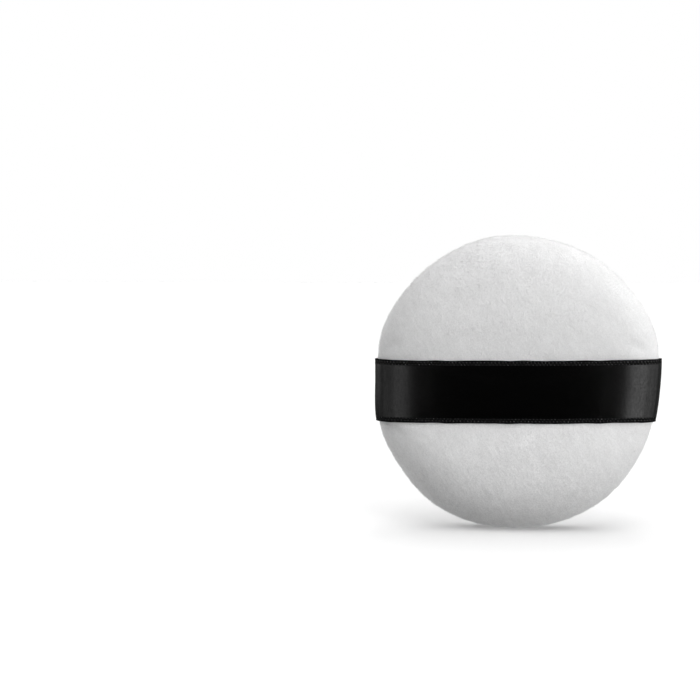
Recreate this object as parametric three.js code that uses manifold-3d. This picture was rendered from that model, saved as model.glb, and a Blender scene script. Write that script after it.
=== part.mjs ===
// A round velour powder puff with a satin finger ribbon, standing on its rim.
// Two velour covers are sewn face to face, turned out and filled with a sponge. The ribbon crosses the front, and its
// ends are caught between the seam allowances at the rim.
// Millimetres, +Z up. The ribbon side faces -Y. The origin is under the middle of the puff, where it stands.
import * as THREE from "three";
import { mergeGeometries, mergeVertices } from "three/addons/utils/BufferGeometryUtils.js";
import Module from "manifold-3d";

// Puff outline
const RIM_RADIUS = 45; // the round outline, seen from the front
const FRONT_CROWN = 12; // seam plane to the top of the ribbon side
const BACK_CROWN = 12; // seam plane to the top of the powder side
const FULLNESS = 2.5; // power of the superellipse section: 2 is an ellipse, more is fuller at the rim
const SIDE_DRAW = 1.5; // how far the sewn ribbon ends draw the rim in
const SIDE_DRAW_SPREAD = 0.5; // angle over which that draw fades, in radians
const FOOT_DEPTH = 0.5; // how far the rim flattens where it stands

// Velour covers and their seam
const VELOUR = 1.8; // cover thickness, pile included
const PLY_THICKNESS = 1.1; // thickness of one seam allowance, with its pile crushed
const SEAM_ROUND = 1.5; // radius at which a cover rolls into the seam
const ALLOWANCE = 5; // width of the seam allowance inside the roll

// Ribbon
const RIBBON_WIDTH = 19;
const RIBBON_THICKNESS = 0.4;
const RIBBON_DROP = 2.5; // middle of the ribbon below the middle of the puff
const RIBBON_TAIL = 4.2; // length of each end caught in the seam

// Thread
const THREAD_DIAMETER = 0.35;
const STITCH = 4.8; // stitch length of the rim seam
const STITCH_INSET = 1.2; // rim seam inside the roll of the covers
const CLOSING_LENGTH = 34; // the opening left for turning and filling, sewn up last
const CLOSING_STITCH = 5.5;
const TACK_STITCH = 3.4; // stitch length of the tack across each ribbon end
const TACK_INSET = 3; // tack inside the roll of the covers
const TACK_MARGIN = 1.6; // tack short of the ribbon's edges

// Room between pieces that touch
const CLEARANCE = 0.3;

// Facets
const SECTORS = 48; // round the rim
const DOME_STEPS = 9; // crown to rim
const ROLL_STEPS = 3;
const RIBBON_ROWS = 5; // across the ribbon
const RIBBON_STEPS = 12; // rim to the middle of the ribbon
const THREAD_SIDES = 4;

const FACET = (2 * Math.PI * RIM_RADIUS) / SECTORS;
const RIBBON_TILT = Math.asin(RIBBON_DROP / RIM_RADIUS); // direction of the ribbon's ends below the horizontal
const RIBBON_HALF_GAP = CLEARANCE + RIBBON_THICKNESS / 2; // seam plane to an allowance, beside a ribbon end

const wasm = await Module();
wasm.setup();

const lerp = THREE.MathUtils.lerp;

// Frame of the rim: how the outline and the seam change round the puff

// Share of the round outline that is left at an angle, where the ribbon's ends draw the rim in.
function drawnIn(angle) {
  const fromRight = angle + RIBBON_TILT;
  const fromLeft = angle - Math.PI - RIBBON_TILT;
  const away = Math.min(...[fromRight, fromLeft].map((a) => Math.abs(Math.atan2(Math.sin(a), Math.cos(a)))));
  return 1 - (SIDE_DRAW / RIM_RADIUS) * Math.exp(-((away / SIDE_DRAW_SPREAD) ** 2));
}

// Distance from the seam plane to each allowance: the two part where a ribbon end lies between them.
function halfGap(angle) {
  const beside = Math.abs(RIM_RADIUS * Math.sin(angle) + RIBBON_DROP) - RIBBON_WIDTH / 2;
  const closing = THREE.MathUtils.smoothstep(beside, FACET, 2 * FACET);
  return lerp(RIBBON_HALF_GAP, CLEARANCE / 2, closing);
}

// Place of a point that lies at a radius and an angle in the round puff, at a height from the seam plane.
function placeOnRim(radius, angle, y) {
  const reach = radius * drawnIn(angle);
  return new THREE.Vector3(reach * Math.cos(angle), y, reach * Math.sin(angle));
}

// Sections, as [radius, height above the seam plane] points

// A dome's section from the crown, at angle 0, to the angle where its height is `foot`.
function domeAngle(crown, foot) {
  return Math.acos((foot / crown) ** (FULLNESS / 2));
}

function domePoint(radius, crown, angle) {
  return [radius * Math.sin(angle) ** (2 / FULLNESS), crown * Math.cos(angle) ** (2 / FULLNESS)];
}

function domeSection(radius, crown, foot) {
  const last = domeAngle(crown, foot);
  return Array.from({ length: DOME_STEPS + 1 }, (_, i) => domePoint(radius, crown, (last * i) / DOME_STEPS));
}

// Radius at which a cover's roll ends and its allowance begins.
function rollRadius(crown, gap) {
  const foot = SEAM_ROUND + gap;
  return domePoint(RIM_RADIUS, crown, domeAngle(crown, foot))[0] - SEAM_ROUND;
}

function rollPoint(crown, gap, turn, offset = 0) {
  const reach = SEAM_ROUND + offset;
  return [rollRadius(crown, gap) + reach * Math.cos(turn), SEAM_ROUND + gap - reach * Math.sin(turn)];
}

// A cover's section: over the dome, round the roll, along the allowance, and back inside the dome.
function coverSection(crown, gap) {
  const outside = domeSection(RIM_RADIUS, crown, SEAM_ROUND + gap);
  const roll = Array.from({ length: ROLL_STEPS }, (_, i) =>
    rollPoint(crown, gap, (Math.PI / 2) * ((i + 1) / ROLL_STEPS)),
  );
  const rawEdge = rollRadius(crown, gap) - ALLOWANCE;
  const inside = domeSection(RIM_RADIUS - VELOUR, crown - VELOUR, PLY_THICKNESS + gap).reverse();
  return [...outside, ...roll, [rawEdge, gap], [rawEdge, gap + PLY_THICKNESS], ...inside];
}

// The sponge's section, front to back, with a groove that takes the allowances and their stitches.
function spongeSection(gap) {
  const lip = gap + PLY_THICKNESS + THREAD_DIAMETER + 2 * CLEARANCE;
  const inset = VELOUR + CLEARANCE;
  const groove = Math.min(rollRadius(FRONT_CROWN, gap), rollRadius(BACK_CROWN, gap)) - ALLOWANCE - CLEARANCE;
  const front = domeSection(RIM_RADIUS - inset, FRONT_CROWN - inset, lip);
  const back = domeSection(RIM_RADIUS - inset, BACK_CROWN - inset, lip);
  const flip = ([radius, height]) => [radius, -height];
  return [...front, [groove, lip], [groove, -lip], ...back.map(flip).reverse()];
}

// Solids

function indexedGeometry(points, index) {
  return new THREE.BufferGeometry().setFromPoints(points).setIndex(index);
}

// A closed surface through radial sections that start and end on the axis. side is -1 for front, 1 for back.
function radialLoft(sectionAt, side) {
  const points = [];
  const index = [];
  let count = 0;
  for (let sector = 0; sector < SECTORS; sector++) {
    const angle = (2 * Math.PI * sector) / SECTORS;
    const section = sectionAt(halfGap(angle));
    count = section.length;
    points.push(...section.map(([radius, height]) => placeOnRim(radius, angle, side * height)));
  }
  for (let sector = 0; sector < SECTORS; sector++) {
    for (let i = 0; i < count - 1; i++) {
      const a = sector * count + i;
      const b = ((sector + 1) % SECTORS) * count + i;
      const quad = side < 0 ? [a, b + 1, b, a, a + 1, b + 1] : [a, b, b + 1, a, b + 1, a + 1];
      index.push(...quad);
    }
  }
  return indexedGeometry(points, index);
}

// A closed sheet between two grids of points, each a list of rows.
function sheetBetween(under, over) {
  const rows = under.length;
  const columns = under[0].length;
  const points = [...under.flat(), ...over.flat()];
  const at = (layer, row, column) => (layer * rows + row) * columns + column;
  const index = [];
  const quad = (a, b, c, d) => index.push(a, b, c, a, c, d);
  for (let r = 0; r < rows - 1; r++) {
    for (let c = 0; c < columns - 1; c++) {
      quad(at(0, r, c), at(0, r + 1, c), at(0, r + 1, c + 1), at(0, r, c + 1));
      quad(at(1, r, c), at(1, r, c + 1), at(1, r + 1, c + 1), at(1, r + 1, c));
    }
    quad(at(0, r, 0), at(1, r, 0), at(1, r + 1, 0), at(0, r + 1, 0));
    quad(at(0, r, columns - 1), at(0, r + 1, columns - 1), at(1, r + 1, columns - 1), at(1, r, columns - 1));
  }
  for (let c = 0; c < columns - 1; c++) {
    quad(at(0, 0, c), at(0, 0, c + 1), at(1, 0, c + 1), at(1, 0, c));
    quad(at(0, rows - 1, c), at(1, rows - 1, c), at(1, rows - 1, c + 1), at(0, rows - 1, c + 1));
  }
  return indexedGeometry(points, index);
}

// A thread of round section through points, with closed ends. `across` stays square to every stretch of it.
function threadThrough(points, acrossAt) {
  const rings = points.map((point, i) => {
    const before = points[Math.max(i - 1, 0)];
    const after = points[Math.min(i + 1, points.length - 1)];
    const along = after.clone().sub(before).normalize();
    const across = acrossAt(point);
    const up = along.cross(across).normalize();
    return Array.from({ length: THREAD_SIDES }, (_, side) => {
      const turn = (2 * Math.PI * side) / THREAD_SIDES;
      const radial = across.clone().multiplyScalar(Math.cos(turn)).addScaledVector(up, Math.sin(turn));
      return point.clone().addScaledVector(radial, THREAD_DIAMETER / 2);
    });
  });
  const index = [];
  for (let i = 0; i < rings.length - 1; i++) {
    for (let side = 0; side < THREAD_SIDES; side++) {
      const a = i * THREAD_SIDES + side;
      const b = i * THREAD_SIDES + ((side + 1) % THREAD_SIDES);
      index.push(a, b, b + THREAD_SIDES, a, b + THREAD_SIDES, a + THREAD_SIDES);
    }
  }
  const last = (rings.length - 1) * THREAD_SIDES;
  for (let side = 1; side < THREAD_SIDES - 1; side++) {
    index.push(0, side + 1, side, last, last + side, last + side + 1);
  }
  return indexedGeometry(rings.flat(), index);
}

function toSolid(geometry) {
  const bare = geometry.clone();
  bare.deleteAttribute("normal");
  bare.deleteAttribute("uv");
  const merged = mergeVertices(bare, 1e-4);
  const mesh = new wasm.Mesh({
    numProp: 3,
    vertProperties: merged.attributes.position.array,
    triVerts: new Uint32Array(merged.index.array),
  });
  return new wasm.Manifold(mesh);
}

function toGeometry(solid) {
  const { vertProperties, triVerts } = solid.getMesh();
  const geometry = new THREE.BufferGeometry();
  geometry.setAttribute("position", new THREE.BufferAttribute(vertProperties, 3));
  geometry.setIndex(new THREE.BufferAttribute(triVerts, 1));
  geometry.computeVertexNormals();
  return geometry;
}

// Seams: rows of stitches that pass to and fro through both allowances

// A row of stitches. `placeAt(share, height)` gives a point of the row, and `gapAt(share)` the half gap there.
function stitchRow(length, stitch, placeAt, gapAt, acrossAt) {
  const count = Math.max(2, Math.round(length / stitch));
  const pitch = 1 / count;
  const turn = (THREAD_DIAMETER + CLEARANCE) / 2 / length; // half the run of a stitch as it passes through
  const points = [];
  const holes = [];
  for (let k = 0; k < count; k++) {
    const start = k * pitch;
    const side = k % 2 ? 1 : -1;
    const top = (share) => side * (gapAt(share) + PLY_THICKNESS + CLEARANCE + THREAD_DIAMETER / 2);
    const ends = [start + turn, start + pitch - turn];
    points.push(...ends.map((share) => placeAt(share, top(share))));
    if (k < count - 1) {
      holes.push(placeAt(start + pitch, 0));
    }
  }
  return { geometry: threadThrough(points, acrossAt), holes: holes.map((hole) => stitchHole(hole, acrossAt)) };
}

// The slot that a stitch passes through, square to the seam plane and in line with its row.
function stitchHole(place, acrossAt) {
  const wide = THREAD_DIAMETER + 2 * CLEARANCE;
  const long = 2 * THREAD_DIAMETER + 3 * CLEARANCE;
  const deep = 4 * (PLY_THICKNESS + RIBBON_HALF_GAP);
  const across = acrossAt(place);
  const slot = new THREE.BoxGeometry(wide, deep, long).deleteAttribute("normal").deleteAttribute("uv");
  return slot.rotateY(-Math.atan2(across.z, across.x)).translate(place.x, place.y, place.z);
}

// Stitches along the rim between two angles.
function rimRow(from, to, stitch) {
  const roll = Math.min(...[FRONT_CROWN, BACK_CROWN].map((crown) => rollRadius(crown, RIBBON_HALF_GAP)));
  const radius = roll - STITCH_INSET;
  const angleAt = (share) => lerp(from, to, share);
  return stitchRow(
    radius * (to - from),
    stitch,
    (share, height) => placeOnRim(radius, angleAt(share), height),
    (share) => halfGap(angleAt(share)),
    (point) => new THREE.Vector3(point.x, 0, point.z).normalize(),
  );
}

// Stitches straight up across a ribbon end. side is -1 for the left end, 1 for the right.
function tackRow(side) {
  const radius = rollRadius(FRONT_CROWN, RIBBON_HALF_GAP) - TACK_INSET;
  const length = RIBBON_WIDTH - 2 * TACK_MARGIN;
  const x = side * acrossAt(radius, -RIBBON_DROP - length / 2);
  return stitchRow(
    length,
    TACK_STITCH,
    (share, height) => new THREE.Vector3(x, height, -RIBBON_DROP + (share - 0.5) * length),
    () => RIBBON_HALF_GAP,
    () => new THREE.Vector3(1, 0, 0),
  );
}

// Ribbon

// How far from the middle the drawn-in circle of a radius is, at a height z.
function acrossAt(radius, z) {
  let x = Math.sqrt(Math.max(radius ** 2 - z ** 2, 0));
  for (let i = 0; i < 8; i++) {
    const reach = radius * drawnIn(Math.atan2(z, x));
    x = Math.sqrt(Math.max(reach ** 2 - z ** 2, 0));
  }
  return x;
}

// One row of the ribbon from its right tail to its middle, at height z, lying `offset` off the front cover.
function ribbonHalfRow(z, offset) {
  const gap = RIBBON_HALF_GAP;
  const rollEnd = rollRadius(FRONT_CROWN, gap);
  const tail = [rollEnd - RIBBON_TAIL, rollEnd - RIBBON_TAIL / 2].map((radius) => [radius, gap - offset]);
  const roll = Array.from({ length: ROLL_STEPS + 1 }, (_, i) =>
    rollPoint(FRONT_CROWN, gap, (Math.PI / 2) * (1 - i / (ROLL_STEPS + 1)), offset),
  );
  const first = domeAngle(FRONT_CROWN, SEAM_ROUND + gap);
  const last = Math.asin((Math.abs(z) / RIM_RADIUS) ** (FULLNESS / 2));
  const dome = Array.from({ length: RIBBON_STEPS }, (_, i) =>
    offsetDome(lerp(first, last, i / RIBBON_STEPS), offset),
  );
  const place = ([radius, height]) => new THREE.Vector3(acrossAt(radius, z), -height, z);
  const middle = new THREE.Vector3(0, -offsetDome(last, offset)[1], z);
  return [...[...tail, ...roll, ...dome].map(place), middle];
}

// A point `offset` off the front dome, along its normal.
function offsetDome(angle, offset) {
  const step = 1e-4;
  const [radius, height] = domePoint(RIM_RADIUS, FRONT_CROWN, angle);
  const [radiusOn, heightOn] = domePoint(RIM_RADIUS, FRONT_CROWN, angle + step);
  const normal = new THREE.Vector2(height - heightOn, radiusOn - radius).normalize();
  return [radius + offset * normal.x, height + offset * normal.y];
}

function ribbonGrid(offset) {
  return Array.from({ length: RIBBON_ROWS + 1 }, (_, row) => {
    const z = -RIBBON_DROP + RIBBON_WIDTH * (row / RIBBON_ROWS - 0.5);
    const right = ribbonHalfRow(z, offset);
    const left = right.slice(0, -1).map((point) => new THREE.Vector3(-point.x, point.y, point.z));
    return [...left, ...right.reverse()];
  });
}

// Pieces

const closingHalf = CLOSING_LENGTH / 2 / RIM_RADIUS;
const seamEnd = STITCH_INSET / RIM_RADIUS; // the rim seam stops this far short of the closing stitches
const rimSeam = rimRow(-Math.PI / 2 + closingHalf + seamEnd, (3 * Math.PI) / 2 - closingHalf - seamEnd, STITCH);
const closingSeam = rimRow(-Math.PI / 2 - closingHalf, -Math.PI / 2 + closingHalf, CLOSING_STITCH);
const tacks = { left: tackRow(-1), right: tackRow(1) };

const stitchHoles = toSolid(
  mergeGeometries([rimSeam, closingSeam, tacks.left, tacks.right].flatMap((row) => row.holes)),
);

// What lies under the foot and is cut away, so that the rim stands flat.
const underFoot = toSolid(
  new THREE.BoxGeometry(2 * RIM_RADIUS, 2 * (FRONT_CROWN + BACK_CROWN), RIM_RADIUS).translate(
    0,
    0,
    FOOT_DEPTH - 1.5 * RIM_RADIUS,
  ),
);

function cover(crown, side) {
  const shell = radialLoft((gap) => coverSection(crown, gap), side);
  return toGeometry(toSolid(shell).subtract(stitchHoles).subtract(underFoot));
}

function sponge() {
  return radialLoft(spongeSection, -1);
}

function ribbon() {
  const band = sheetBetween(ribbonGrid(CLEARANCE), ribbonGrid(CLEARANCE + RIBBON_THICKNESS));
  return toGeometry(toSolid(band).subtract(stitchHoles));
}

const velour = new THREE.MeshStandardMaterial({ color: 0xe4e4e4, roughness: 1, metalness: 0 });
const satin = new THREE.MeshStandardMaterial({ color: 0x060606, roughness: 0.35, metalness: 0 });
const foam = new THREE.MeshStandardMaterial({ color: 0xf0ebdd, roughness: 1, metalness: 0 });
const cotton = new THREE.MeshStandardMaterial({ color: 0xf2f2f2, roughness: 0.8, metalness: 0 });

const puff = new THREE.Group();

function addPiece(name, geometry, material) {
  const piece = new THREE.Mesh(geometry, material);
  piece.name = name;
  puff.add(piece);
}

addPiece("front_cover", cover(FRONT_CROWN, -1), velour);
addPiece("back_cover", cover(BACK_CROWN, 1), velour);
addPiece("sponge_core", sponge(), foam);
addPiece("ribbon_strap", ribbon(), satin);
addPiece("rim_seam_thread", rimSeam.geometry, cotton);
addPiece("closing_thread", closingSeam.geometry, cotton);
addPiece("left_ribbon_tack", tacks.left.geometry, cotton);
addPiece("right_ribbon_tack", tacks.right.geometry, cotton);

// The puff stands on its foot, with the middle of its thickness over the origin.
const ribbonReach = FRONT_CROWN + CLEARANCE + RIBBON_THICKNESS;
puff.position.set(0, (ribbonReach - BACK_CROWN) / 2, RIM_RADIUS - FOOT_DEPTH);

const part = new THREE.Group();
part.add(puff);

export default part;
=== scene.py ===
"""Looks of the velour powder puff: cloth covers with a short pile, a sponge in them and a satin ribbon."""

import math

import bpy
import numpy as np
from mathutils import Matrix, Vector


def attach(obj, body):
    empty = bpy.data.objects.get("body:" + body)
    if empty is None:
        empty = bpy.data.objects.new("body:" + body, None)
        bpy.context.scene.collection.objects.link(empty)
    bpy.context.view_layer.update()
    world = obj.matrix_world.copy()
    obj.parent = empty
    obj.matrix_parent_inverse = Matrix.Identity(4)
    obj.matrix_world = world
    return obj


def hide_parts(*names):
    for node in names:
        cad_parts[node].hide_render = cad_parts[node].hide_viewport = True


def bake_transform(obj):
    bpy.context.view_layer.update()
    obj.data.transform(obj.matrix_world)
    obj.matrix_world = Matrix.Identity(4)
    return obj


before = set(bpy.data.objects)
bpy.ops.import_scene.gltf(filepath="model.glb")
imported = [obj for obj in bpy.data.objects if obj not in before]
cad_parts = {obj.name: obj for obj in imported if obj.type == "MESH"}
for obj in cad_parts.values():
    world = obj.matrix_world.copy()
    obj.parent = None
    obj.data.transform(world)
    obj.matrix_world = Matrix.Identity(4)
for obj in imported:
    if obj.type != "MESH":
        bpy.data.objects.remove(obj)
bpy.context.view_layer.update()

# Sizes are in millimetres, in the puff's own frame: x to the right, y into the picture, z up, from the
# middle of the rim. The first ones are those of the solids, apart from FULLNESS and VELOUR.
MM = 0.001
PUFF_MIDDLE = np.array([0.0, 0.35, 44.5])  # the middle of the rim above the place where the puff stands
RIM_RADIUS = 45.0
CROWN = 12.0
FULLNESS = 2.4  # exponent of the dome's section, where 2 is an ellipse
SIDE_DRAW = 1.5  # how far the ribbon's ends draw the rim in
SIDE_DRAW_SPREAD = 0.5  # and over what angle, in radians
FOOT_DEPTH = 0.5  # how much of the rim is flattened where the puff stands
SEAM_ROUND = 1.5
ALLOWANCE = 5.0
RIBBON_WIDTH = 19.0
RIBBON_DROP = 2.5
RIBBON_TAIL = 4.2
SEAM_HALF_GAP = 0.15  # from the seam's middle to a cover
RIBBON_HALF_GAP = 0.5  # the same where a ribbon end comes out
RIBBON_GAP_ENDS = (0.5, 4.0)  # distances beside the ribbon between which the one becomes the other
VELOUR = 1.2  # thickness of the cloth under its pile
# How far the sewn rim strays from the round outline, every 15 degrees from the right-hand side upwards.
RIM_STRAY = (
    *(-0.55, 0.42, 0.3, 0.05, 0.28, 0.28, 0.5, 0.75, 0.33, 0.15, 0.37, 0.42),
    *(-0.3, 0.7, 0.35, 0.45, 0.85, 0.55, 0.15, 0.0, -0.1, -0.45, -0.85, -0.7),
)

# Cloth covers
COVER_RINGS = 30  # rings of cloth from the crown to the seam
RIM_CROWDING = 1.3  # rings lie closer together towards the seam
SEAM_STITCHES = 60
STITCH_PULL = 0.25  # how far each stitch draws the seam in
STITCH_PULL_FADE = 0.05  # share of the section over which that fades
PILE_HEIGHT = 0.4  # room that the pile takes outside the cloth
INSET_ENDS = (0.94, 1.0)  # shares of the section between which that room and the press end at the seam
RIBBON_BED = 0.95  # how far the tight ribbon presses the cover in
RIBBON_BED_FADE = 7.5  # distance beside the ribbon over which that fades
RIBBON_BED_EASE = 0.7  # share of it that is gone at the rim, where the ribbon only bends over
RIBBON_BED_EASES = (0.55, 0.9)  # shares of the section between which it goes
LOWER_SWELL = 2.5  # how far the sagging filling swells the front below the ribbon
LOWER_SWELL_RISE = 15.0  # distance below the ribbon over which it swells
LOWER_SWELL_ENDS = (0.6, 0.97)  # shares of the section between which the swelling ends at the rim
UNEVENNESS = ((26.0, 0.12), (8.0, 0.035))  # length and height of the lumps of the filling under the cloth
UNEVENNESS_ENDS = (0.8, 1.0)  # shares of the section between which they end at the seam
SETTLE_SCALE = 20.0  # the cloth is settled at this many times its size
SETTLE_FRAMES = 20
SETTLE_PRESSURE = 4.0
SETTLE_STIFFNESS = 2.0
SETTLE_QUALITY = 6
SETTLE_LIMIT = 0.5  # no point of the cloth moves further than this
SPONGE_YIELD = 0.15  # share of an inward move that the sponge lets through

# Ribbon
RIBBON_RISE = 0.5  # how much higher the sewn ribbon lies than its marks on the rim
RIBBON_TILT = 0.008  # rise towards the right
RIBBON_OVER = 0.5  # underside of the ribbon over the pressed cloth
RIBBON_THICKNESS = 0.3
RIBBON_CORD = 0.36  # width of the cord along the ribbon's edges
RIBBON_CORD_RISE = 0.12  # how much thicker the ribbon is in it
RIBBON_EDGE = (0.12, 0.08)  # how much thinner the very edge is, and over what distance
RIBBON_WAVER = (0.06, 0.8)  # how far the edge wavers, and how far in from it
SELVEDGE = 1.55  # width of the dull woven edge
SELVEDGE_PITCH = 1.07
# Distance from the ribbon's edge, half sizes of a stitch along, across and off the ribbon, and its slant.
SELVEDGE_ROWS = (
    (0.66, (0.28, 0.17, 0.052), -55.0),
    (1.3, (0.23, 0.15, 0.047), -48.0),
)
STITCH_STRAY = 0.03  # how far a stitch strays along its row
SLANT_STRAY = 6.0  # and from its slant, in degrees
STITCH_SIZES = (0.85, 1.1)  # least and most of its given size
# Distances of the ribbon's rows from its edge, closest together in the cord.
RIBBON_ROWS = (0.0, 0.04, 0.1, 0.18, 0.26, 0.32, 0.4, 0.8, 1.1, 1.55, 2.1, 2.9, 3.9, 5.1, 6.5, 8.0)

# Velour
BRUSHED = 60.0  # degrees by which the brushed pile runs down to the right
WALE = 1.33  # width of a column of knitted loops
COURSE = 1.1  # height of a loop
PAINTED_GRAZING_LIGHT = (8.0, 32.0, 1.6, 1.0)  # two heights over the floor, and the strength of the mottle at each: painted grazing light, a stronger mottle near the foot
MATT_CLOTH = {"Roughness": 1.0, "Specular IOR Level": 0.1, "Sheen Weight": 0.6, "Sheen Roughness": 0.4}
PILE = {"Fibres per square metre": 11e6, "Length": 0.5 * MM, "Width": 0.06 * MM, "Lean": 0.7, "Seed": 11}
BACK_PILE_FIBRES = 8.5e6  # per square metre
FIBRE_SIZES = (0.55, 1.1)  # least and most of a fibre's given size
HALF_TURN = 3.14  # a fibre leans to any side
PILE_OFF_SEAM = (0.4, 1.4)  # heights over the seam between which the pile begins
PILE_OFF_FOOT = (0.3, 2.0)  # heights between which it begins over the foot: from its face, and from the rim
PILE_OFF_RIBBON = 0.05  # distance beside the ribbon at which it begins

# Sponge
SPONGE_INSET = 2.1  # sponge inside the outline of the covers
SPONGE_LIP = 2.2  # from the seam's middle to the sides of the groove
GROOVE_ROOM = 0.6  # room in the groove past the seam allowances
SPONGE_STEPS = 24
SPONGE_SECTORS = 144

# Stage
FLOOR = 2500.0  # half the floor's width
FLOOR_WHITE_AND_PAINTED_SHADE = (0.91, 1.0)  # what the camera sees of it, near the puff and far away: darker near the puff as painted shade round its foot
FLOOR_WHITE_REACH = 100.0  # distance from the foot at which it is far away
FLOOR_BOUNCE = (0.2, 0.95)  # what the floor sends back to the puff, in front and behind
FLOOR_BOUNCE_EDGE = 10.0  # half the depth over which that changes
# Angle to the right from the camera's side, angle up, tightness and strength.
SOFT_LIGHTS = {
    "overhead": (0.0, 90.0, 10.0, 1.7),
    "overhead, front": (0.0, 62.0, 10.0, 2.5),
    "overhead, back": (180.0, 58.0, 10.0, 1.5),
    "right": (90.0, 0.0, 5.0, 0.98),
    "left edge": (250.0, 0.0, 15.0, 2.5),
}
HORIZON = (-0.08, 0.08)  # the soft lights end between these heights of their direction
CARD_AWAY = 2.0  # metres from the puff's middle
# Angle to the right from the camera's side, angle up, width and height as angles, and brightness.
KEY = (42.0, 9.5, 28.0, 20.0, 10.4)
RIM_CARDS = {
    "left_rim_card": (-114.0, -24.0, 30.0, 30.0, 5.0),
    "right_rim_card": (114.0, -24.0, 30.0, 30.0, 1.8),
}
SHEEN_CARDS = {
    "right_card": (43.5, 0.0, 26.0, 80.0, 1.7),
    "right_outer_card": (69.5, 0.0, 26.0, 80.0, 0.95),
    "right_side_card": (95.0, 0.0, 25.0, 80.0, 0.55),
    "right_edge_card": (130.0, 0.0, 44.0, 80.0, 0.11),
    "left_card": (-37.5, 0.0, 18.0, 80.0, 0.85),
    "left_outer_card": (-61.5, 0.0, 30.0, 80.0, 0.48),
    "left_side_card": (-91.5, 0.0, 30.0, 80.0, 0.22),
    "left_edge_card": (-130.0, 0.0, 46.0, 80.0, 0.08),
}

# Camera
SENSOR = 36.0
LENS = 88.8
CAMERA_AWAY = 0.53  # metres from the puff's middle
CAMERA_RISE = 5.0  # degrees above it
CAMERA_AIM = (-0.0513, 0.0, 0.0096)  # metres from the puff's middle to where the camera points

rng = np.random.default_rng(7)


# Node trees


class Value:
    """A node's socket that takes part in plain sums."""

    def __init__(self, graph, socket):
        self.graph = graph
        self.socket = socket

    def beside(self, name):
        """Another output of the same node."""
        return Value(self.graph, self.socket.node.outputs[name])

    def sum(self, operation, *terms):
        return self.graph.make("ShaderNodeMath", {"operation": operation}, dict(enumerate(terms)))

    def __add__(self, other):
        return self.sum("ADD", self, other)

    def __radd__(self, other):
        return self.sum("ADD", other, self)

    def __sub__(self, other):
        return self.sum("SUBTRACT", self, other)

    def __rsub__(self, other):
        return self.sum("SUBTRACT", other, self)

    def __mul__(self, other):
        return self.sum("MULTIPLY", self, other)

    def __rmul__(self, other):
        return self.sum("MULTIPLY", other, self)

    def exp(self):
        return self.sum("EXPONENT", self)

    def sine(self):
        return self.sum("SINE", self)


class Graph:
    """A node tree that is written one node at a time."""

    def __init__(self, tree):
        self.tree = tree

    def make(self, kind, settings=None, inputs=None, out=0):
        """Adds a node, gives it its settings, then its inputs, and returns one of its outputs."""
        node = self.tree.nodes.new(kind)
        for name, setting in (settings or {}).items():
            setattr(node, name, setting)
        for name, value in (inputs or {}).items():
            if isinstance(value, Value):
                self.tree.links.new(value.socket, node.inputs[name])
            else:
                node.inputs[name].default_value = value
        return Value(self, node.outputs[out]) if len(node.outputs) else node


def new_material(name):
    material = bpy.data.materials.new(name)
    material.use_nodes = True
    material.node_tree.nodes.clear()
    return material, Graph(material.node_tree)


def finish_material(graph, sockets):
    """Ends a material in one Principled surface with these sockets."""
    surface = graph.make("ShaderNodeBsdfPrincipled", {}, sockets)
    graph.make("ShaderNodeOutputMaterial", {}, {"Surface": surface})


def millimetres(graph):
    """Object coordinates in millimetres."""
    place = graph.make("ShaderNodeTexCoord", out="Object")
    return graph.make("ShaderNodeVectorMath", {"operation": "SCALE"}, {0: place, "Scale": 1 / MM})


def noise(graph, place, scale, detail=2.0, roughness=0.5):
    sockets = {"Vector": place, "Scale": scale, "Detail": detail, "Roughness": roughness}
    return graph.make("ShaderNodeTexNoise", {}, sockets, out="Fac")


def stretched(graph, place, grain, turn=0.0):
    """Coordinates for a grain of this length, depth and height, turned about the puff's axis."""
    sockets = {"Vector": place, "Scale": grain, "Rotation": (0.0, math.radians(turn), 0.0)}
    return graph.make("ShaderNodeMapping", {"vector_type": "TEXTURE"}, sockets)


def bump(graph, height, distance, strength=1.0):
    return graph.make("ShaderNodeBump", {}, {"Height": height, "Distance": distance, "Strength": strength})


def grey(graph, value):
    return graph.make("ShaderNodeCombineColor", {}, {"Red": value, "Green": value, "Blue": value})


def between(graph, value, low, high, to_low=0.0, to_high=1.0):
    """A smooth step of a value from one range to another."""
    ends = {"From Min": low, "From Max": high, "To Min": to_low, "To Max": to_high}
    return graph.make("ShaderNodeMapRange", {"interpolation_type": "SMOOTHSTEP"}, {"Value": value, **ends})


# Materials


def velour_material():
    """White velour: a soft mottle, stronger towards the foot as painted grazing light, brushed streaks, the
    knit's rows and the grain of the nap.
    """
    material, graph = new_material("velour")
    place = millimetres(graph)
    clouds = noise(graph, stretched(graph, place, (8.0, 8.0, 4.0), BRUSHED), 1.0, 3.0)
    brushed = noise(graph, stretched(graph, place, (3.0, 1.6, 0.9), BRUSHED), 1.0, 3.0, 0.6)
    nap = noise(graph, stretched(graph, place, (0.55, 0.4, 0.26), BRUSHED), 1.0, 2.0, 0.6)
    speck = between(graph, noise(graph, place, 0.55, 0.0), 0.82, 0.9)
    across = graph.make("ShaderNodeSeparateXYZ", {}, {0: place}, out="X")
    up = across.beside("Z")
    loops = (across * (2 * math.pi / WALE)).sine() * (0.6 + 0.4 * (up * (2 * math.pi / COURSE)).sine())
    knit = loops * between(graph, clouds, 0.4, 0.6)
    mottle = 0.1 * clouds + 0.16 * brushed + 0.3 * nap - 0.28
    # Painted grazing light: the mottle grows stronger towards the foot, where light grazing the nap shows its
    # grain more.
    painted_grazing_light = between(graph, up, *PAINTED_GRAZING_LIGHT)
    tone = 0.855 + painted_grazing_light * mottle + 0.006 * knit - 0.1 * speck
    height = nap + 0.3 * brushed + 0.1 * knit
    finish_material(
        graph,
        {**MATT_CLOTH, "Base Color": grey(graph, tone), "Normal": bump(graph, height, 0.07 * MM)},
    )
    return material


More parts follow.
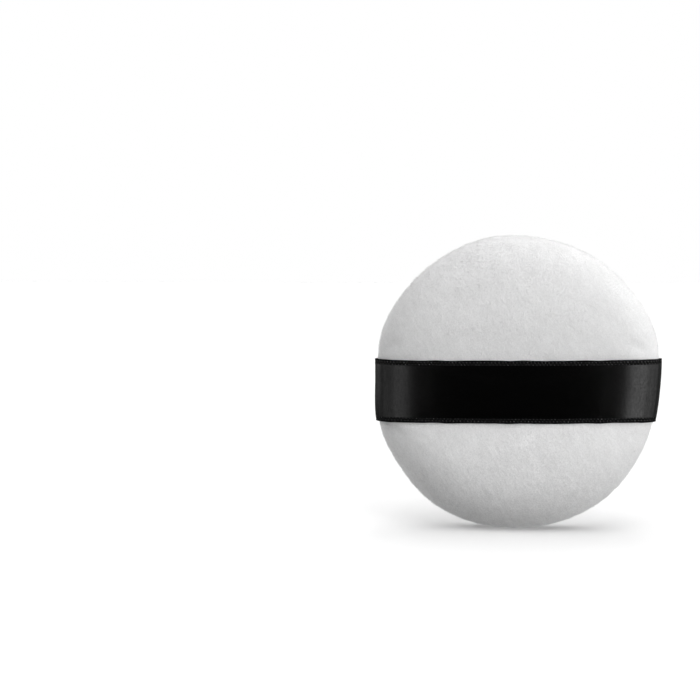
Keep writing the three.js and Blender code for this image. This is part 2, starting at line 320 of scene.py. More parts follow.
def pile_material():
    """The single fibres of the pile, about as white as the cloth."""
    material, graph = new_material("velour_pile")
    finish_material(graph, {**MATT_CLOTH, "Base Color": (0.84, 0.84, 0.84, 1.0)})
    return material


def satin_material():
    """Black satin: long floats along the ribbon, which smear a highlight across it."""
    material, graph = new_material("satin")
    place = millimetres(graph)
    floats = noise(graph, stretched(graph, place, (1.6, 1.6, 0.11)), 1.0, 3.0, 0.6)
    slubs = noise(graph, stretched(graph, place, (4.0, 4.0, 0.6)), 1.0, 2.0)
    twill = noise(graph, stretched(graph, place, (0.5, 0.5, 0.3), 40.0), 1.0, 1.0)
    finish_material(
        graph,
        {
            "Base Color": grey(graph, 0.0003 + 0.0005 * slubs),
            "Roughness": 0.18 + 0.05 * floats + 0.05 * twill,
            "Specular IOR Level": 0.25,
            "Anisotropic": 0.4,
            "Anisotropic Rotation": 0.25,
            "Coat Weight": between(graph, twill, 0.1, 0.9),
            "Coat Roughness": 0.2,
            "Normal": bump(graph, floats + 0.7 * twill, 0.02 * MM, 0.4),
        },
    )
    return material


def ribbon_edge_material():
    """The dull plain weave along the ribbon's edges."""
    material, graph = new_material("ribbon_edge")
    place = millimetres(graph)
    fibres = noise(graph, stretched(graph, place, (0.3, 0.3, 0.1)), 1.0, 2.0)
    finish_material(
        graph,
        {
            "Base Color": grey(graph, 0.0005 + 0.0012 * fibres),
            "Roughness": 0.6 + 0.2 * fibres,
            "Specular IOR Level": 0.05,
            "Normal": bump(graph, fibres, 0.02 * MM),
        },
    )
    return material


def selvedge_material():
    """The stitches of the selvedge: black thread that catches the light."""
    material, graph = new_material("selvedge")
    place = millimetres(graph)
    fibres = noise(graph, place, 0.9, 2.0)
    finish_material(
        graph,
        {
            "Base Color": grey(graph, between(graph, fibres, 0.35, 0.7, 0.003, 0.016)),
            "Roughness": 0.2 + 0.12 * fibres,
            "Specular IOR Level": 1.0,
            "Normal": bump(graph, fibres, 0.02 * MM),
        },
    )
    return material


def sponge_material():
    """Open-cell sponge: pale, with pores of two sizes."""
    material, graph = new_material("sponge")
    place = millimetres(graph)
    cells = graph.make(
        "ShaderNodeTexVoronoi", {"feature": "F1"}, {"Vector": place, "Scale": 1.6}, out="Distance"
    )
    fine = noise(graph, place, 4.0, 3.0)
    pore = between(graph, cells, 0.15, 0.5)
    tone = 0.62 + 0.2 * pore + 0.06 * fine
    tints = {"Red": tone, "Green": 0.97 * tone, "Blue": 0.86 * tone}
    finish_material(
        graph,
        {
            "Base Color": graph.make("ShaderNodeCombineColor", {}, tints),
            "Roughness": 0.95,
            "Normal": bump(graph, pore + 0.3 * fine, 0.15 * MM),
        },
    )
    return material


def thread_material():
    """Spun white thread, with the slant of its twist."""
    material, graph = new_material("thread")
    place = millimetres(graph)
    twist = graph.make(
        "ShaderNodeTexWave",
        {"wave_type": "BANDS", "bands_direction": "DIAGONAL"},
        {"Vector": place, "Scale": 2.2, "Distortion": 1.0},
        out="Fac",
    )
    finish_material(
        graph,
        {
            "Base Color": grey(graph, 0.7 + 0.14 * twist),
            "Roughness": 0.75,
            "Normal": bump(graph, twist, 0.03 * MM),
        },
    )
    return material


# Shape of the puff


def smooth_step(value, low, high):
    share = np.clip((value - low) / (high - low), 0.0, 1.0)
    return share * share * (3.0 - 2.0 * share)


def drawn_in(angle):
    """Share of the round outline that is left at an angle, where the ribbon's ends draw the rim in."""
    tilt = math.asin(RIBBON_DROP / RIM_RADIUS)
    turns = np.stack([angle + tilt, angle - math.pi - tilt])
    away = np.abs(np.arctan2(np.sin(turns), np.cos(turns))).min(axis=0)
    return 1.0 - SIDE_DRAW / RIM_RADIUS * np.exp(-((away / SIDE_DRAW_SPREAD) ** 2))


def rim_stray(angle):
    """How far the rim strays from the round outline at an angle, as a smooth curve through the steps."""
    waves = np.fft.rfft(RIM_STRAY) / len(RIM_STRAY)
    waves[1:-1] *= 2.0
    turns = np.asarray(angle)[..., None] * np.arange(len(waves))
    return (waves * np.exp(1j * turns)).real.sum(axis=-1)


def half_gap(angle):
    """Distance from the seam plane to a cover at the seam: more where a ribbon end comes out of it."""
    beside = np.abs(RIM_RADIUS * np.sin(angle) + RIBBON_DROP) - RIBBON_WIDTH / 2
    beside = np.where(np.abs(np.cos(angle)) > 0.5, beside, RIM_RADIUS)
    return SEAM_HALF_GAP + (RIBBON_HALF_GAP - SEAM_HALF_GAP) * (1.0 - smooth_step(beside, *RIBBON_GAP_ENDS))


def cover_section():
    """A cover's section from the crown to the seam: share of its length, radius, height over the seam plane,
    and the two parts of its outward normal."""
    turn = np.linspace(0.0, math.acos((SEAM_ROUND / CROWN) ** (FULLNESS / 2)), 600)
    radius = RIM_RADIUS * np.sin(turn) ** (2 / FULLNESS)
    height = CROWN * np.cos(turn) ** (2 / FULLNESS)
    roll = np.linspace(0.0, math.pi / 2, 60)[1:]
    radius = np.append(radius, radius[-1] - SEAM_ROUND * (1.0 - np.cos(roll)))
    height = np.append(height, SEAM_ROUND * (1.0 - np.sin(roll)))
    length = np.append(0.0, np.cumsum(np.hypot(np.diff(radius), np.diff(height))))
    normal = np.array([-np.gradient(height), np.gradient(radius)])
    return length / length[-1], radius, height, *(normal / np.hypot(*normal))


SECTION = cover_section()


def share_at(radius):
    """Shares of the section at which it reaches these radii, short of the rim."""
    rim = SECTION[1].argmax()
    return np.interp(radius, SECTION[1][:rim], SECTION[0][:rim])


def stretched_reach(radius, angle):
    """Distance from the puff's middle for a radius on the round outline."""
    return radius * drawn_in(angle) + rim_stray(angle) * (radius / RIM_RADIUS) ** 3


def cover_points(share, angle, side, press=0.0):
    """Points of a cover's cloth at shares of its section. side is -1 in front and 1 behind, and press lowers
    the cloth."""
    radius, height, out, up = (np.interp(share, SECTION[0], along) for along in SECTION[1:])
    inset = (PILE_HEIGHT + press) * (1.0 - smooth_step(share, *INSET_ENDS))
    reach = stretched_reach(radius - inset * out, angle)
    gap = half_gap(angle)
    height = gap + (height - inset * up) * (1.0 - gap / CROWN)
    return np.stack([reach * np.cos(angle), side * height, reach * np.sin(angle)], axis=-1)


def ribbon_bed(share):
    """How far the ribbon presses the cover in under it: less at the rim."""
    return RIBBON_BED * (1.0 - RIBBON_BED_EASE * smooth_step(share, *RIBBON_BED_EASES))


def ribbon_middle(across):
    """Height of the ribbon's middle line at a place across the puff."""
    return RIBBON_RISE + RIBBON_TILT * across - RIBBON_DROP


def beside_ribbon(across, height):
    """Distance above or below the ribbon's edge. Under the ribbon it is negative."""
    return np.abs(height - ribbon_middle(across)) - RIBBON_WIDTH / 2


def front_press(across, height, share):
    """How far the front lies inside the even dome: pressed in beside the ribbon, swollen out below it."""
    beside = np.maximum(beside_ribbon(across, height), 0.0)
    press = ribbon_bed(share) * np.exp(-((beside / RIBBON_BED_FADE) ** 1.5))
    below = np.where(height < ribbon_middle(across), beside, 0.0)
    swell = LOWER_SWELL * (1.0 - np.exp(-((below / LOWER_SWELL_RISE) ** 1.5)))
    return press - swell * (1.0 - smooth_step(share, *LOWER_SWELL_ENDS))


def lumps(points, size, waves=24):
    """A smooth uneven field, from -1 to 1, of waves about `size` long."""
    directions = rng.normal(size=(waves, 3))
    directions /= np.linalg.norm(directions, axis=1)[:, None]
    lengths = size * rng.uniform(0.7, 1.6, waves)
    phases = rng.uniform(0.0, 2 * math.pi, waves)
    turns = points @ (directions * (2 * math.pi / lengths)[:, None]).T + phases
    return np.sin(turns).sum(axis=1) / waves**0.5 / 1.5


# Meshes


def to_row(points):
    return (np.asarray(points, float) + PUFF_MIDDLE) * MM


def add_mesh(name, points, faces, material=None, smooth=True):
    """A new object from points in the puff's frame."""
    mesh = bpy.data.meshes.new(name)
    mesh.from_pydata(to_row(points).tolist(), [], [list(map(int, face)) for face in faces])
    mesh.update()
    if smooth:
        mesh.shade_smooth()
    if material:
        mesh.materials.append(material)
    piece = bpy.data.objects.new(name, mesh)
    bpy.context.scene.collection.objects.link(piece)
    return piece


def mesh_points(mesh, what="vertices", field="co"):
    values = np.empty(len(getattr(mesh, what)) * 3, np.float32)
    getattr(mesh, what).foreach_get(field, values)
    return values.reshape(-1, 3).astype(float)


def evaluated(piece):
    """A plain mesh of a piece with its modifiers applied."""
    graph = bpy.context.evaluated_depsgraph_get()
    return bpy.data.meshes.new_from_object(piece.evaluated_get(graph), depsgraph=graph)


def made_plain(piece):
    """Applies a piece's modifiers."""
    mesh = evaluated(piece)
    piece.modifiers.clear()
    old = piece.data
    piece.data = mesh
    bpy.data.meshes.remove(old)
    return piece


def disc_grid(rings):
    """A disc of square cells: ring and angle of each point, and the faces."""
    span = np.arange(-rings, rings + 1)
    i, j = (a.ravel() for a in np.meshgrid(span, span, indexing="ij"))
    ring = np.maximum(np.abs(i), np.abs(j))
    wide = np.abs(i) >= np.abs(j)
    with np.errstate(divide="ignore", invalid="ignore"):
        angle = np.where(wide, math.pi / 4 * j / i, math.pi / 2 - math.pi / 4 * i / j)
    angle = np.nan_to_num(angle) + math.pi * np.where(wide, i < 0, j < 0)
    count = 2 * rings + 1
    corner = (np.arange(count - 1)[:, None] * count + np.arange(count - 1)).ravel()
    faces = np.stack([corner, corner + count, corner + count + 1, corner + 1], axis=1)
    return ring, angle, faces


def settled_cloth(points, faces, held):
    """Where the sewn covers come to rest when the filling swells in them. Held points stay."""
    start = points * SETTLE_SCALE
    cloth_piece = add_mesh("settling", start, faces)
    group = cloth_piece.vertex_groups.new(name="held")
    group.add(np.flatnonzero(held).tolist(), 1.0, "REPLACE")
    cloth = cloth_piece.modifiers.new("cloth", "CLOTH")
    cloth.settings.vertex_group_mass = "held"
    cloth.settings.use_pressure = True
    cloth.settings.uniform_pressure_force = SETTLE_PRESSURE
    cloth.settings.effector_weights.gravity = 0.0
    cloth.settings.bending_stiffness = SETTLE_STIFFNESS
    cloth.settings.quality = SETTLE_QUALITY
    cloth.collision_settings.use_collision = False
    cloth.point_cache.frame_end = SETTLE_FRAMES
    for step in range(1, SETTLE_FRAMES + 1):
        bpy.context.scene.frame_set(step)
    moved = (mesh_points(evaluated(cloth_piece)) / MM - PUFF_MIDDLE - start) / SETTLE_SCALE
    outward = mesh_points(cloth_piece.data, "vertex_normals", "vector")
    bpy.context.scene.frame_set(1)
    bpy.data.objects.remove(cloth_piece)
    sunk = np.minimum((moved * outward).sum(axis=1, keepdims=True), 0.0)
    moved -= (1.0 - SPONGE_YIELD) * sunk * outward
    far = np.linalg.norm(moved, axis=1, keepdims=True)
    return points + moved * np.minimum(1.0, SETTLE_LIMIT / np.maximum(far, 1e-9))


def cover_cloths():
    """Points of the front and back cloth on a disc grid, after they settle on the filling."""
    ring, angle, faces = disc_grid(COVER_RINGS)
    seam = ring == COVER_RINGS
    share = 1.0 - (1.0 - ring / COVER_RINGS) ** RIM_CROWDING
    flat = cover_points(share, angle, -1)
    beside = beside_ribbon(flat[:, 0], flat[:, 2])
    front = cover_points(share, angle, -1, front_press(flat[:, 0], flat[:, 2], share))
    back = cover_points(share, angle, 1)
    pucker = 1.0 + np.cos(SEAM_STITCHES * angle)
    near_seam = np.exp(-((1.0 - share) / STITCH_PULL_FADE))
    for cloth in (front, back):
        swell = sum(height * lumps(cloth, length) for length, height in UNEVENNESS)
        swell *= 1.0 - smooth_step(share, *UNEVENNESS_ENDS)
        cloth[:, 1] *= 1.0 + swell / CROWN
        cloth[:, [0, 2]] *= (1.0 - 0.5 * STITCH_PULL / RIM_RADIUS * pucker * near_seam)[:, None]
    both = np.concatenate([front, back])
    held = np.concatenate([seam | (beside < 0.0), seam])
    both_faces = np.concatenate([faces, faces[:, ::-1] + len(front)])
    both = settled_cloth(both, both_faces, held)
    return both[: len(front)], both[len(front) :], seam, angle, faces


def pile_share(outside, side):
    """Where pile grows on the outside of a cover: not in the seam, on the foot or under the ribbon."""
    across, depth, height = outside.T
    foot = (FOOT_DEPTH - RIM_RADIUS + PILE_OFF_FOOT[0], PILE_OFF_FOOT[1] - RIM_RADIUS)
    share = smooth_step(np.abs(depth), *PILE_OFF_SEAM) * smooth_step(height, *foot)
    if side < 0:
        share = share * (beside_ribbon(across, height) > PILE_OFF_RIBBON)
    return share


def thick_cover(name, cloth, seam, angle, faces, side, material):
    """A cover with its seam allowance turned in, given the cloth's thickness and made smooth."""
    edge = np.flatnonzero(seam)
    edge = edge[np.argsort(np.arctan2(np.sin(angle[edge]), np.cos(angle[edge])))]
    rings = [edge]
    points = cloth
    for inward in (0.35 * ALLOWANCE, ALLOWANCE):
        turned = cloth[edge].copy()
        turned[:, [0, 2]] *= 1.0 - inward / RIM_RADIUS
        rings.append(np.arange(len(edge)) + len(points))
        points = np.concatenate([points, turned])
    strips = [np.stack([a, b, np.roll(b, -1), np.roll(a, -1)], axis=1) for a, b in zip(rings, rings[1:])]
    skin = np.concatenate([faces, *strips])
    if side > 0:
        skin = skin[:, ::-1]
    piece = add_mesh(name, points, skin, material)
    smooth = piece.modifiers.new("smooth", "SUBSURF")
    smooth.levels = smooth.render_levels = 1
    made_plain(piece)
    mesh = piece.data
    outside = mesh_points(mesh) / MM - PUFF_MIDDLE
    outside[:, 2] = np.maximum(outside[:, 2], FOOT_DEPTH - RIM_RADIUS)
    normals = mesh_points(mesh, "vertex_normals", "vector")
    quads = np.empty(len(mesh.loops), np.int32)
    mesh.loops.foreach_get("vertex_index", quads)
    quads = quads.reshape(-1, 4)
    inside = outside - VELOUR * normals
    edges = np.concatenate([quads[:, [k, (k + 1) % 4]] for k in range(4)])
    known = set(map(tuple, edges))
    open_edges = np.array([e for e in edges if (e[1], e[0]) not in known])
    count = len(outside)
    start, end = open_edges.T
    walls = np.stack([end, start, start + count, end + count], axis=1)
    bpy.data.objects.remove(piece)
    bpy.data.meshes.remove(mesh)
    shell = add_mesh(
        name,
        np.concatenate([outside, inside]),
        np.concatenate([quads, quads[:, ::-1] + count, walls]),
        material,
    )
    grown = shell.data.attributes.new("pile", "FLOAT", "POINT")
    shares = np.concatenate([pile_share(outside, side), np.zeros(count)])
    grown.data.foreach_set("value", shares.astype(np.float32))
    return shell


# Geometry trees


def new_tree(name, inputs, output):
    """A geometry tree with these inputs, by their kinds of socket, and one geometry output. Returns the tree,
    its graph and a function that gives an input by its name."""
    tree = bpy.data.node_groups.new(name, "GeometryNodeTree")
    for given, kind in inputs.items():
        tree.interface.new_socket(given, in_out="INPUT", socket_type="NodeSocket" + kind)
    tree.interface.new_socket(output, in_out="OUTPUT", socket_type="NodeSocketGeometry")
    graph = Graph(tree)
    return tree, graph, graph.make("NodeGroupInput").beside


def end_tree(graph, copies, material, output):
    """Ends a geometry tree in real copies with smooth shading and a material."""
    real = graph.make("GeometryNodeRealizeInstances", {}, {"Geometry": copies})
    shaded = graph.make("GeometryNodeSetShadeSmooth", {}, {0: real, "Shade Smooth": True})
    dressed = graph.make("GeometryNodeSetMaterial", {}, {"Geometry": shaded, "Material": material})
    graph.make("NodeGroupOutput", {}, {output: dressed})


def grow(name, tree, on, values):
    """Runs a geometry tree on a piece's mesh, and returns the result as a plain mesh piece."""
    piece = bpy.data.objects.new(name, on.data.copy())
    bpy.context.scene.collection.objects.link(piece)
    modifier = piece.modifiers.new("grow", "NODES")
    modifier.node_group = tree
    for item in tree.interface.items_tree:
        if item.in_out == "INPUT" and item.name in values:
            modifier[item.identifier] = values[item.name]
    return made_plain(piece)


# Pile


def pile_tree(material):
    """Short fibres that stand on the cloth, each a slim spike with its own length and lean."""
    numbers = dict.fromkeys(("Fibres per square metre", "Length", "Width", "Lean"), "Float")
    tree, graph, asked = new_tree("pile", {"Cloth": "Geometry", **numbers, "Seed": "Int"}, "Pile")
    grown = graph.make("GeometryNodeInputNamedAttribute", {"data_type": "FLOAT"}, {"Name": "pile"})
    scatter = {
        "Mesh": asked("Cloth"),
        "Density": asked("Fibres per square metre") * grown,
        "Seed": asked("Seed"),
    }
    roots = graph.make("GeometryNodeDistributePointsOnFaces", {"distribute_method": "RANDOM"}, scatter)
    upright = roots.beside("Rotation")
    lean = asked("Lean")
    swing = graph.make("ShaderNodeCombineXYZ", {}, {"X": lean, "Y": lean, "Z": HALF_TURN})
    back = graph.make("ShaderNodeVectorMath", {"operation": "SCALE"}, {0: swing, "Scale": -1.0})
    swings = {0: back, 1: swing, "Seed": 3}
    tilt = graph.make("FunctionNodeRandomValue", {"data_type": "FLOAT_VECTOR"}, swings)
    tilt = graph.make("FunctionNodeEulerToRotation", {}, {0: tilt})
    turned = graph.make("FunctionNodeRotateRotation", {"rotation_space": "LOCAL"}, {0: upright, 1: tilt})
    spike = graph.make(
        "GeometryNodeMeshCone",
        {"fill_type": "NONE"},
        {"Vertices": 3, "Radius Top": 0.0, "Radius Bottom": asked("Width"), "Depth": asked("Length")},
    )
    sizes = dict(zip((2, 3), FIBRE_SIZES))
    size = graph.make("FunctionNodeRandomValue", {"data_type": "FLOAT"}, {**sizes, "Seed": 5}, out=1)
    spikes = graph.make(
        "GeometryNodeInstanceOnPoints",
        {},
        {"Points": roots, "Instance": spike, "Rotation": turned, "Scale": size},
    )
    end_tree(graph, spikes, material, "Pile")
    return tree


# Sponge


def sponge_piece(material):
    """The sponge, with a groove round its rim for the seam allowances, pressed in front as the cover is."""
    inset, lip, sectors = SPONGE_INSET, SPONGE_LIP, SPONGE_SECTORS
    turn = np.linspace(0.0, math.acos((lip / (CROWN - inset)) ** (FULLNESS / 2)), SPONGE_STEPS)
    radius = (RIM_RADIUS - inset) * np.sin(turn) ** (2 / FULLNESS)
    height = (CROWN - inset) * np.cos(turn) ** (2 / FULLNESS)
    groove = RIM_RADIUS - SEAM_ROUND - ALLOWANCE - GROOVE_ROOM
    section = [*zip(radius, height), (groove, lip), (groove, -lip), *zip(radius[::-1], -height[::-1])]
    angle = np.arange(sectors) * 2 * math.pi / sectors
    points = [(0.0, RIBBON_BED - section[0][1], 0.0)]
    for reach, up in section[1:-1]:
        around = stretched_reach(reach, angle)
        across, rise = around * np.cos(angle), around * np.sin(angle)
        pressed = np.full(sectors, -up)
        if up > lip:
            pressed += front_press(across, rise, share_at(reach + inset)) * (1.0 - lip / up)
        points += [*zip(across, pressed, rise)]
    points.append((0.0, -section[-1][1], 0.0))
    rings = len(section) - 2
    index = 1 + np.arange(rings)[:, None] * sectors + np.arange(sectors)
    onward = np.roll(index, -1, axis=1)
    faces = [(0, a, b) for a, b in zip(index[0], onward[0])]
    for k in range(rings - 1):
        faces += [*zip(index[k], index[k + 1], onward[k + 1], onward[k])]
    faces += [(len(points) - 1, b, a) for a, b in zip(index[-1], onward[-1])]
    return add_mesh("sponge", points, faces, material)


# Ribbon


def ribbon_rows():
    """Heights of the ribbon's rows over its middle line, from edge to edge."""
    off_middle = RIBBON_WIDTH / 2 - np.array(RIBBON_ROWS)
    return np.concatenate([-off_middle, [0.0], off_middle[::-1]])


def angle_at(share, row, side):
    """Angle at which a row of the ribbon crosses the pressed cover. side is 1 on the right and -1 on
    the left."""
    angle = np.zeros_like(share)
    for _ in range(12):
        x, _, height = cover_points(share, angle, -1, ribbon_bed(share)).T
        rise = np.arcsin((row + ribbon_middle(side * np.abs(x))) / np.hypot(x, height))
        angle = rise if side > 0 else math.pi - rise
    return angle


def ribbon_half(rows, side, steps=56, rim_steps=26, tail_steps=4):
    """Points under one half of the ribbon on the pressed cover, row by row, from the middle to the tail."""
    turn_in = 0.82  # share of the section where the columns stop going by x and go by the section
    grid = []
    for row in rows:
        rim_share = np.linspace(turn_in, 1.0, rim_steps + 1)
        angle = angle_at(rim_share, row, side)
        rim = cover_points(rim_share, angle, -1, ribbon_bed(rim_share))
        x = rim[0, 0] * np.arange(steps) / steps
        z = row + ribbon_middle(x)
        angle = np.arctan2(z, x)
        reach = np.hypot(x, z)
        radius = (reach - rim_stray(angle) * (reach / RIM_RADIUS) ** 3) / drawn_in(angle)
        dome_share = share_at(radius)
        dome = cover_points(dome_share, angle, -1, ribbon_bed(dome_share))
        tail = np.repeat(rim[-1:], tail_steps, axis=0)
        tail[:, 0] -= side * RIBBON_TAIL * np.arange(1, tail_steps + 1) / tail_steps
        grid.append(np.concatenate([dome, rim, tail]))
    return np.array(grid)


def ribbon_grid():
    """Points under the whole ribbon, row by row, from the left tail to the right one, and the way out of the
    cover."""
    rows = ribbon_rows()
    grid = np.concatenate([ribbon_half(rows, -1)[:, :0:-1], ribbon_half(rows, 1)], axis=1)
    normal = np.cross(np.gradient(grid, axis=1), np.gradient(grid, axis=0))
    return grid, normal / np.linalg.norm(normal, axis=2, keepdims=True)


def ribbon_faces(grid, normal):
    """Points of the ribbon's underside and of its face, which is thicker in the cords along its edges."""
    from_edge = RIBBON_WIDTH / 2 - np.abs(ribbon_rows())
    cord = 1.0 - (2.0 * np.minimum(from_edge, RIBBON_CORD) / RIBBON_CORD - 1.0) ** 2
    thinner, edge_reach = RIBBON_EDGE
    thickness = RIBBON_THICKNESS - thinner * np.exp(-from_edge / edge_reach) + RIBBON_CORD_RISE * cord
    across = grid[..., 0]
    stray, reach = RIBBON_WAVER
    waver = stray * np.sin(across / 2.3 + 1.3 * np.sin(across / 3.7)) * np.exp(-from_edge / reach)[:, None]
    under_face = grid + normal * RIBBON_OVER
    under_face[..., 2] += waver
    return under_face, under_face + normal * thickness[:, None, None]


def ribbon_piece(under_face, upper_face, material, edge_material):
    """The ribbon as one closed sheet, with its woven edges in their own material."""
    rows, columns = under_face.shape[:2]
    points = np.concatenate([under_face.reshape(-1, 3), upper_face.reshape(-1, 3)])
    at = np.arange(rows * columns).reshape(rows, columns)
    top = at + rows * columns

    def strip(a, b):
        return np.stack([a[:-1], a[1:], b[1:], b[:-1]], axis=1)

    faces = [strip(top[r], top[r + 1]) for r in range(rows - 1)]
    faces += [strip(at[r + 1], at[r]) for r in range(rows - 1)]
    faces += [strip(at[0], top[0]), strip(top[-1], at[-1])]
    faces += [strip(top[:, 0], at[:, 0]), strip(at[:, -1], top[:, -1])]
    ribbon = add_mesh("ribbon", points, np.concatenate(faces), material)
    ribbon.data.materials.append(edge_material)
    woven_edge = RIBBON_WIDTH / 2 - np.abs(ribbon_rows()) < SELVEDGE + 0.01
    in_edge = np.repeat(woven_edge[:-1] & woven_edge[1:], columns - 1)
    slots = np.resize(in_edge, len(ribbon.data.polygons)).astype(np.int32)
    ribbon.data.polygons.foreach_set("material_index", slots)
    return ribbon


def stitch_tree(material):
    """Small rounded stitches on points that carry their turn and size."""
    tree, graph, asked = new_tree("selvedge", {"Places": "Geometry", "Unit": "Float"}, "Stitches")
    turn, size = (
        graph.make("GeometryNodeInputNamedAttribute", {"data_type": "FLOAT_VECTOR"}, {"Name": name})
        for name in ("turn", "size")
    )
    bead = graph.make("GeometryNodeMeshUVSphere", {}, {"Segments": 8, "Rings": 6, "Radius": asked("Unit")})
    stitches = graph.make(
        "GeometryNodeInstanceOnPoints",
        {},
        {
            "Points": asked("Places"),
            "Instance": bead,
            "Rotation": graph.make("FunctionNodeEulerToRotation", {}, {0: turn}),
            "Scale": size,
        },
    )
    end_tree(graph, stitches, material, "Stitches")
    return tree


def along_row(field, off_middle):
    """A field of the ribbon along a line at this height over its middle line."""
    rows = ribbon_rows()
    columns = field.swapaxes(0, 1)
    return np.array([[np.interp(off_middle, rows, column[:, k]) for k in range(3)] for column in columns])


def selvedge_piece(face, normal, material):
    """The woven stitches in two staggered rows along both edges of the ribbon's face."""
    places, turns, sizes = [], [], []
    for edge in (-1, 1):
        for row, (inward, size, slant) in enumerate(SELVEDGE_ROWS):
            off_middle = edge * (RIBBON_WIDTH / 2 - inward)
            line, away = along_row(face, off_middle), along_row(normal, off_middle)
            length = np.append(0.0, np.cumsum(np.linalg.norm(np.diff(line, axis=0), axis=1)))
            first = RIBBON_TAIL + 0.5 * row * SELVEDGE_PITCH
            for stop in np.arange(first, length[-1] - RIBBON_TAIL, SELVEDGE_PITCH):
                stop += rng.normal(0.0, STITCH_STRAY)
                here, onward, out = (
                    Vector([np.interp(at, length, field[:, k]) for k in range(3)])
                    for at, field in ((stop, line), (stop + 0.1, line), (stop, away))
                )
                along = (onward - here).normalized()
                lean = Matrix.Rotation(math.radians(rng.normal(slant, SLANT_STRAY)), 3, "Z")
                turn = Matrix((along, out.cross(along).normalized(), out.normalized())).transposed() @ lean
                places.append(here)
                turns.append(turn.to_euler())
                sizes.append(np.array(size) * rng.uniform(*STITCH_SIZES))
    points = add_mesh("selvedge_places", places, [], smooth=False)
    for name, values in (("turn", turns), ("size", sizes)):
        attribute = points.data.attributes.new(name, "FLOAT_VECTOR", "POINT")
        attribute.data.foreach_set("vector", np.array(values, np.float32).ravel())
    stitches = grow("ribbon_selvedge", stitch_tree(material), points, {"Unit": MM})
    bpy.data.objects.remove(points)
    return stitches


# Stage


def add_floor():
    """A floor that the camera sees pale near the puff, where painted shade deepens its shadow, and white far
    away, that sends up more light behind the puff than in front of it, and that the satin doesn't mirror."""
    corners = [(-FLOOR, -FLOOR), (FLOOR, -FLOOR), (FLOOR, FLOOR), (-FLOOR, FLOOR)]
    floor = add_mesh("floor", [(x, y, -PUFF_MIDDLE[2]) for x, y in corners], [(0, 1, 2, 3)])
    floor.visible_glossy = floor.visible_shadow = False
    material, graph = new_material("floor")
    place = millimetres(graph)
    depth = graph.make("ShaderNodeSeparateXYZ", {}, {0: place}, out="Y")
    bounce = between(graph, depth, -FLOOR_BOUNCE_EDGE, FLOOR_BOUNCE_EDGE, *FLOOR_BOUNCE)
    away = graph.make("ShaderNodeVectorMath", {"operation": "LENGTH"}, {0: place}, out="Value")
    # Painted shade: the camera sees the floor darker near the puff, which deepens the shadow round its foot.
    white = between(graph, away, 0.0, FLOOR_WHITE_REACH, *FLOOR_WHITE_AND_PAINTED_SHADE)
    seen = graph.make("ShaderNodeLightPath", out="Is Camera Ray")
    tone = white * seen + bounce * seen.beside("Is Diffuse Ray")
    finish_material(graph, {"Base Color": grey(graph, tone), "Roughness": 1.0, "Specular IOR Level": 0.0})
    floor.data.materials.append(material)


def direction(around, up):
    """The way from the puff at these angles, in degrees: to the right from the camera's side, and up."""
    around, up = math.radians(around), math.radians(up)
    return math.sin(around) * math.cos(up), -math.cos(around) * math.cos(up), math.sin(up)


def light_world():
    """A dark room with a few broad soft lights. The camera sees plain white."""
    world = bpy.data.worlds.new("studio")
    world.use_nodes = True
    world.node_tree.nodes.clear()
    bpy.context.scene.world = world
    graph = Graph(world.node_tree)
    way = graph.make("ShaderNodeTexCoord", out="Generated")
    strength = 0.0
    for around, up, tightness, power in SOFT_LIGHTS.values():
        ways = {0: way, 1: direction(around, up)}
        facing = graph.make("ShaderNodeVectorMath", {"operation": "DOT_PRODUCT"}, ways, out="Value")
        strength = power * (tightness * facing - tightness).exp() + strength
    up = graph.make("ShaderNodeSeparateXYZ", {}, {0: way}, out="Z")
    strength = strength * between(graph, up, *HORIZON)
    seen = graph.make("ShaderNodeLightPath", out="Is Camera Ray")
    light = graph.make("ShaderNodeBackground", {}, {"Color": (1.0, 1.0, 1.0, 1.0), "Strength": strength})
    white = graph.make("ShaderNodeBackground", {}, {"Color": (1.0, 1.0, 1.0, 1.0), "Strength": 1.0})
    shown = graph.make("ShaderNodeMixShader", {}, {0: seen, 1: light, 2: white})
    graph.make("ShaderNodeOutputWorld", {}, {"Surface": shown})


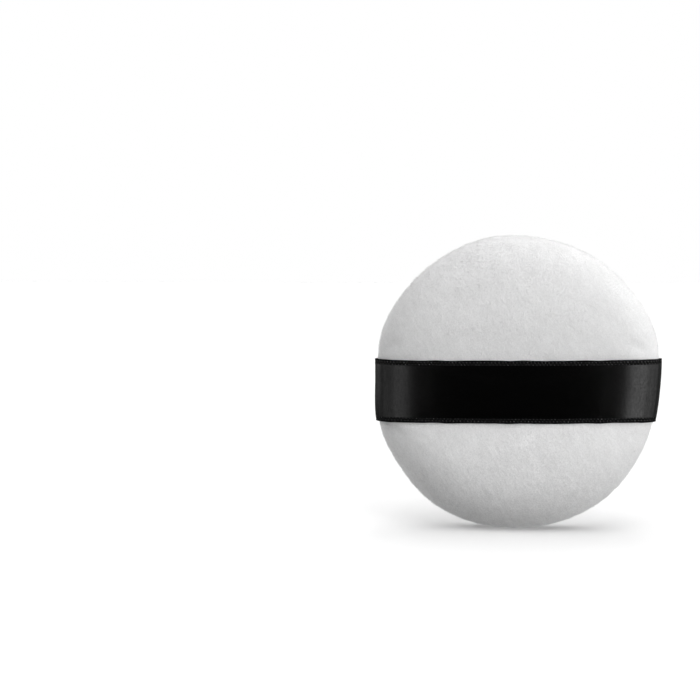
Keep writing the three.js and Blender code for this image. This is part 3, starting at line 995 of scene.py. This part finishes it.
def add_card(name, around, up, width, height, brightness):
    """A card that shines evenly on the puff. Its place and its size are angles as seen from the puff."""
    lamp = bpy.data.lights.new(name, "AREA")
    lamp.shape = "RECTANGLE"
    lamp.size, lamp.size_y = (2 * CARD_AWAY * math.tan(math.radians(angle) / 2) for angle in (width, height))
    lamp.energy = brightness * math.pi * lamp.size * lamp.size_y
    card = bpy.data.objects.new(name, lamp)
    towards = Vector(direction(around, up))
    card.location = Vector(PUFF_MIDDLE * MM) + CARD_AWAY * towards
    card.rotation_euler = (-towards).to_track_quat("-Z", "Y").to_euler()
    card.visible_camera = False
    bpy.context.scene.collection.objects.link(card)
    return card


def add_lamps():
    """A key card and rim cards for the cloth, and tall cards that only the satin's highlights show."""
    for name, card in {"key": KEY, **RIM_CARDS}.items():
        add_card(name, *card).visible_glossy = False
    for name, card in SHEEN_CARDS.items():
        add_card(name, *card).visible_diffuse = False


def add_camera():
    """The photograph's view: the puff stands right of the middle, seen from a little above."""
    lens = bpy.data.cameras.new("camera")
    lens.sensor_width = SENSOR
    lens.lens = LENS
    camera = bpy.data.objects.new("camera", lens)
    middle = Vector(PUFF_MIDDLE * MM)
    camera.location = middle + CAMERA_AWAY * Vector(direction(0.0, CAMERA_RISE))
    aim = middle + Vector(CAMERA_AIM)
    camera.rotation_euler = (aim - camera.location).to_track_quat("-Z", "Y").to_euler()
    bpy.context.scene.collection.objects.link(camera)
    bpy.context.scene.camera = camera


# Making

bpy.context.scene.view_settings.view_transform = "Standard"
add_camera()
add_floor()
light_world()
add_lamps()

velour = velour_material()
pile = pile_tree(pile_material())
front_cloth, back_cloth, seam, angle, faces = cover_cloths()
front = thick_cover("front_velour", front_cloth, seam, angle, faces, -1, velour)
back = thick_cover("back_velour", back_cloth, seam, angle, faces, 1, velour)
front_pile = grow("front_pile", pile, front, PILE)
back_pile = grow("back_pile", pile, back, {**PILE, "Fibres per square metre": BACK_PILE_FIBRES})
sponge = sponge_piece(sponge_material())
grid, normal = ribbon_grid()
under_face, upper_face = ribbon_faces(grid, normal)
ribbon = ribbon_piece(under_face, upper_face, satin_material(), ribbon_edge_material())
selvedge = selvedge_piece(upper_face, normal, selvedge_material())

thread = thread_material()
for name in ("rim_seam_thread", "closing_thread", "left_ribbon_tack", "right_ribbon_tack"):
    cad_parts[name].data.materials.clear()
    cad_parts[name].data.materials.append(thread)

for piece in (front, back, front_pile, back_pile, sponge):
    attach(piece, "puff")
for piece in (ribbon, selvedge):
    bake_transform(piece)
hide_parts("front_cover")
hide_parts("back_cover")
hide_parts("sponge_core")
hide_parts("ribbon_strap")
